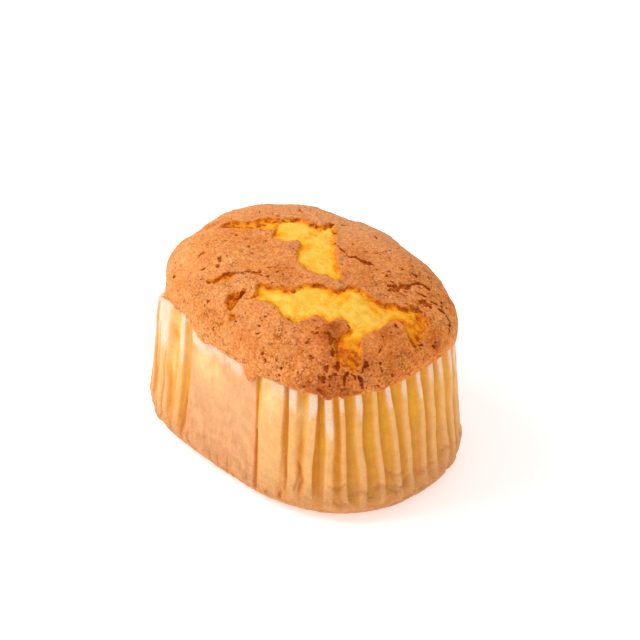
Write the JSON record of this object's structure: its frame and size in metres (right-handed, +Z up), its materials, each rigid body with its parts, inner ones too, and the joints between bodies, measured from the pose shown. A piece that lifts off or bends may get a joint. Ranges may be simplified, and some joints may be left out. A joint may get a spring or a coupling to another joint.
{
  "type": "castella cup cake",
  "caption": "Small oval sponge cake with a split golden crust, baked in a pleated paper case and resting on its flat base.",
  "frame": {"origin": "centre of the paper case's flat base, on the surface that it stands on", "axes": "+Z up, X along the oval, -Y the long side whose flat panel has its broad folds at the +X end"},
  "size_m": [0.0812, 0.0586, 0.0498],
  "materials": {
    "crust": "golden brown porous sponge crust, matte, split open over bright yellow crumb",
    "baking_paper": "thin greaseproof baking paper, soaked golden where it touches the crumb, paler on the pleats"
  },
  "bodies": {
    "root": {"cake": "crust", "paper_case": "baking_paper"}
  },
  "joints": []
}
